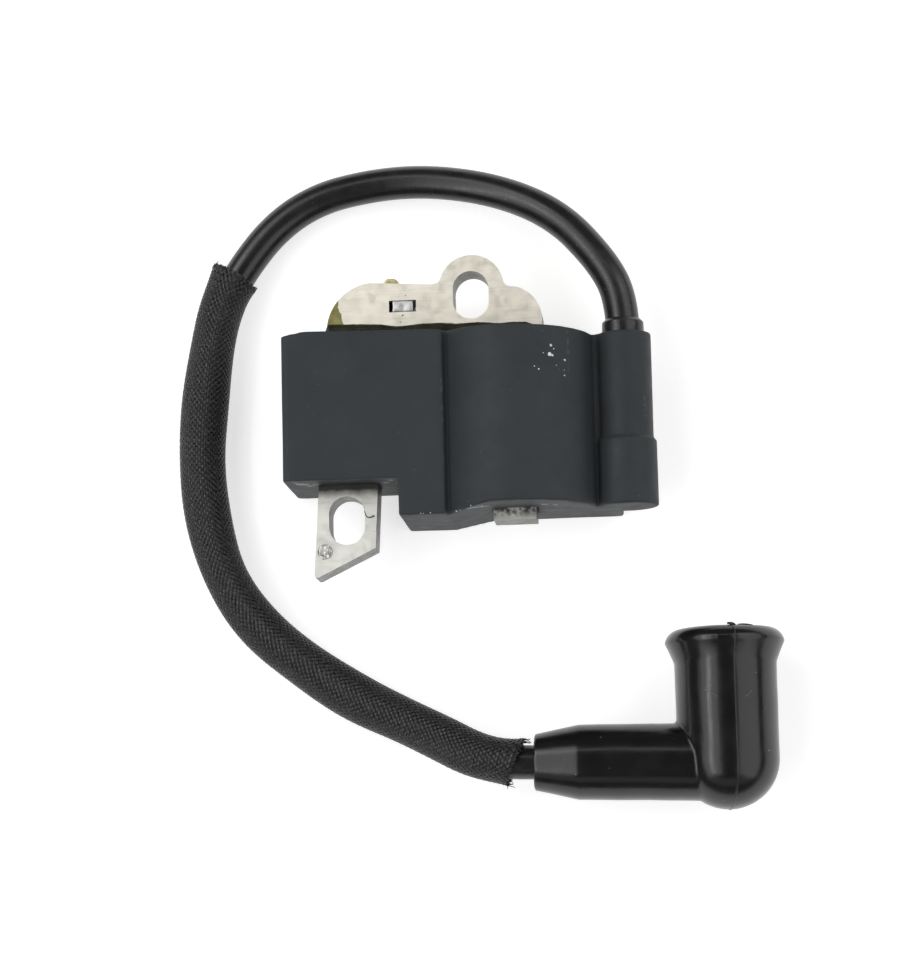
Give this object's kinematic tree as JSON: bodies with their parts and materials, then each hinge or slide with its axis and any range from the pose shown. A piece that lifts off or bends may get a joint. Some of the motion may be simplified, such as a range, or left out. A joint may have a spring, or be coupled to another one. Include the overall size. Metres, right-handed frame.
{
  "type": "ignition coil",
  "caption": "Flywheel ignition coil: potted case on a laminated U core with screw slots, and a sleeved high tension lead to a right-angle plug boot.",
  "frame": {"origin": "bottom centre of the coil without its lead and boot: the middle of its outline, on the flat back it lies on", "axes": "+X towards the high tension tower, +Y from the pole tips towards the yoke, +Z out of the moulded front"},
  "size_m": [0.0897, 0.0991, 0.021],
  "materials": {
    "case_plastic": "satin charcoal glass-filled nylon",
    "resin": "dark olive cast epoxy",
    "core_steel": "stamped electrical steel, warm silver",
    "brass": "dull brass",
    "copper": "enamelled copper",
    "bobbin_plastic": "natural moulded bobbin",
    "tape": "amber insulating tape",
    "board": "solder-masked glass epoxy",
    "capacitor_case": "dipped film capacitor",
    "component_body": "moulded epoxy packages",
    "lead_rubber": "glossy black lead insulation",
    "sleeve_weave": "black woven sleeve",
    "boot_rubber": "glossy black moulded rubber",
    "spring_steel": "plain spring steel"
  },
  "bodies": {
    "coil": {"case_shell": "case_plastic", "potting_resin": "resin", "core_laminations": "core_steel", "core_key": "core_steel", "core_stake": "core_steel", "primary_bobbin": "bobbin_plastic", "primary_winding": "copper", "insulation_tape": "tape", "secondary_bobbin": "bobbin_plastic", "secondary_winding": "copper", "ht_link": "copper", "ht_terminal": "brass", "circuit_board": "board", "film_capacitor": "capacitor_case", "resistors": "component_body", "diodes": "component_body", "switching_transistor": "component_body", "control_chip": "component_body", "ground_strap": "brass", "stop_terminal": "brass", "primary_wires": "copper", "lead_grommet": "lead_rubber", "ht_lead_jacket": "lead_rubber", "ht_lead_conductor": "copper", "protective_sleeve": "sleeve_weave"},
    "boot": {"boot_shell": "boot_rubber", "plug_spring": "spring_steel"}
  },
  "joints": [
    {"name": "boot_swivel", "type": "hinge", "parent": "coil", "child": "boot", "pos_m": [0.00796, -0.05131, 0.00875], "axis": [0.9997, -0.0244, 0], "range_deg": [-90, 90]}
  ]
}
